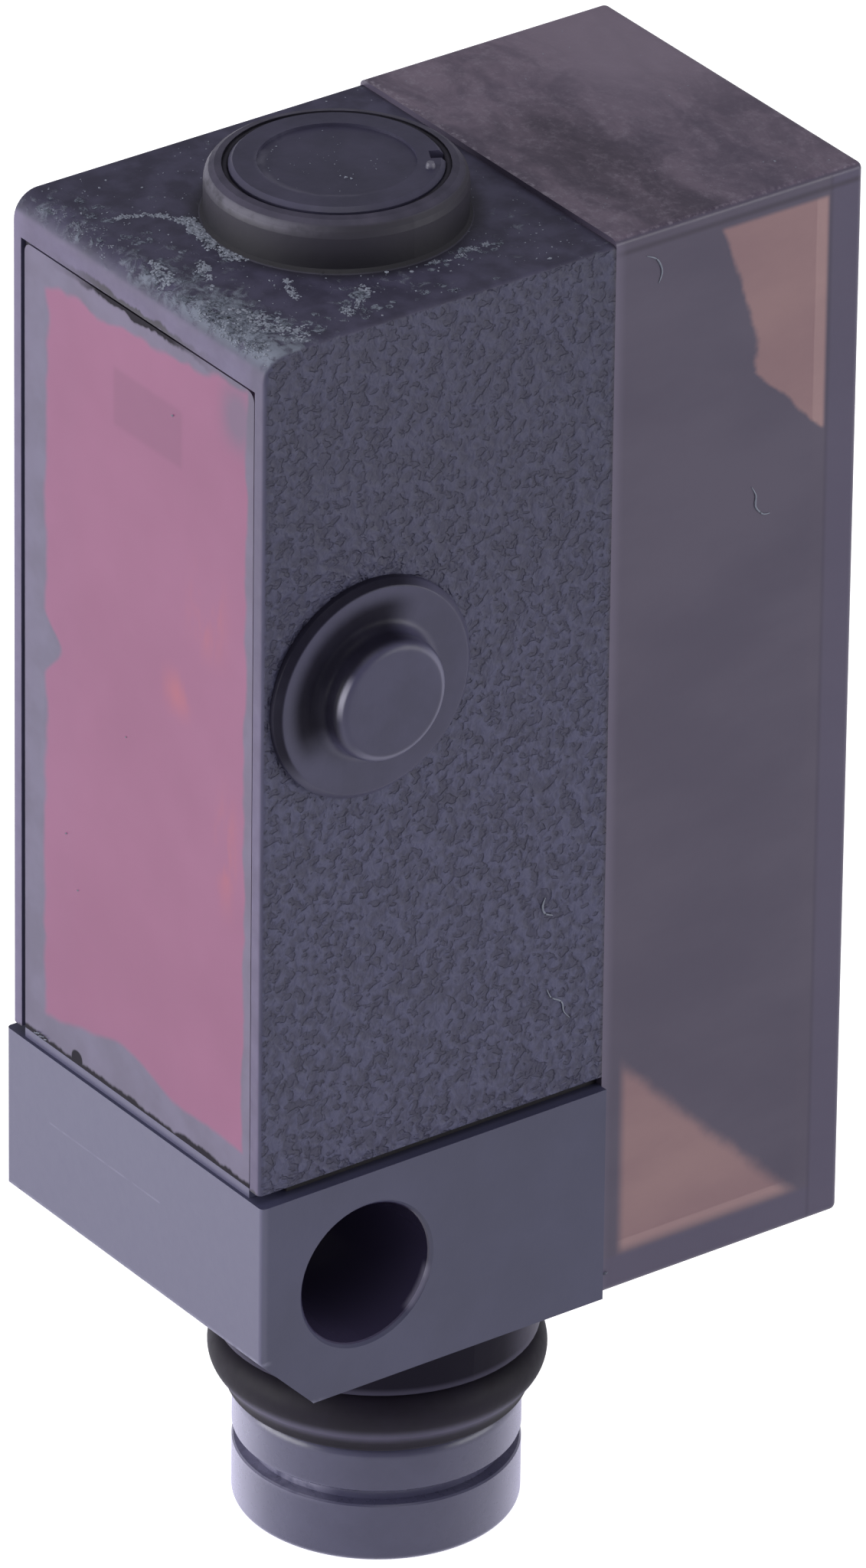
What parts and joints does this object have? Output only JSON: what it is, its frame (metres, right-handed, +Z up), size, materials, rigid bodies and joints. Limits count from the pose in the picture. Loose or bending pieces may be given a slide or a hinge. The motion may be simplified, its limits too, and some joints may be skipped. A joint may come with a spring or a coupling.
{
  "type": "reflective optical sensor",
  "caption": "Miniature reflective optical sensor with a red window, smoked rear cover, roof adjuster, side push button, mounting bore and a round snap-in plug.",
  "frame": {"origin": "centre of the mounting bore, midway through the body", "axes": "+X along the mounting bore, out of the side with the push button; -Y out of the red window; +Z up, away from the plug"},
  "size_m": [0.0134, 0.0202, 0.0431],
  "materials": {
    "housing_plastic": "textured dark slate plastic",
    "window_red": "translucent red window with a greyish haze",
    "window_sealant": "dark sealant bead",
    "base_plastic": "smooth slate plastic",
    "gasket_rubber": "dark gasket rubber",
    "smoked_cover": "smoked translucent plastic",
    "seal_rubber": "black seal rubber",
    "sleeve_plastic": "smooth slate plastic",
    "insulator_plastic": "black insulator",
    "contact_metal": "gold-plated brass",
    "board_laminate": "solder-masked laminate",
    "carrier_plastic": "black moulded frame",
    "lens_clear": "clear moulded lens",
    "emitter_package": "red emitter package",
    "receiver_package": "dark receiver package",
    "chip_package": "black chip package",
    "small_part_ceramic": "ceramic body",
    "flex_film": "amber film",
    "led_green": "pale green lens",
    "led_yellow": "yellow lens",
    "dial_plastic": "smooth dark plastic",
    "rotor_plastic": "white rotor",
    "potentiometer_plastic": "blue case",
    "ring_plastic": "smooth slate plastic",
    "button_plastic": "smooth slate plastic",
    "switch_plastic": "black switch case"
  },
  "bodies": {
    "housing": {"front_housing": "housing_plastic", "front_window": "window_red", "window_seal": "window_sealant", "base_block": "base_plastic", "base_gasket": "gasket_rubber", "rear_cover": "smoked_cover", "seal_ring": "seal_rubber", "plug_sleeve": "sleeve_plastic", "contact_insert": "insulator_plastic", "contact_pin_1": "contact_metal", "contact_pin_2": "contact_metal", "contact_pin_3": "contact_metal", "contact_pin_4": "contact_metal", "connector_board": "board_laminate", "optics_board": "board_laminate", "main_board": "board_laminate", "optics_carrier": "carrier_plastic", "emitter_lens": "lens_clear", "receiver_lens": "lens_clear", "emitter_led": "emitter_package", "receiver_diode": "receiver_package", "controller_chip": "chip_package", "driver_chip": "chip_package", "board_parts": "small_part_ceramic", "flex_link": "flex_film", "indicator_board": "board_laminate", "status_led_green": "led_green", "status_led_yellow": "led_yellow", "adjuster_seal": "gasket_rubber", "potentiometer": "potentiometer_plastic", "button_ring": "ring_plastic", "tact_switch": "switch_plastic"},
    "dial": {"adjuster_dial": "dial_plastic", "potentiometer_rotor": "rotor_plastic"},
    "button": {"button_cap": "button_plastic", "switch_plunger": "switch_plastic"}
  },
  "joints": [
    {"name": "adjuster_turn", "type": "hinge", "parent": "housing", "child": "dial", "pos_m": [0, 0.00309, 0.0311], "axis": [0, 0, 1], "range_deg": [-107, 163]},
    {"name": "button_press", "type": "slide", "parent": "housing", "child": "button", "axis": [-1, 0, 0], "range_m": [0, 0.0003], "stiffness_N_per_m": 5000, "springref_m": -0.0001}
  ]
}
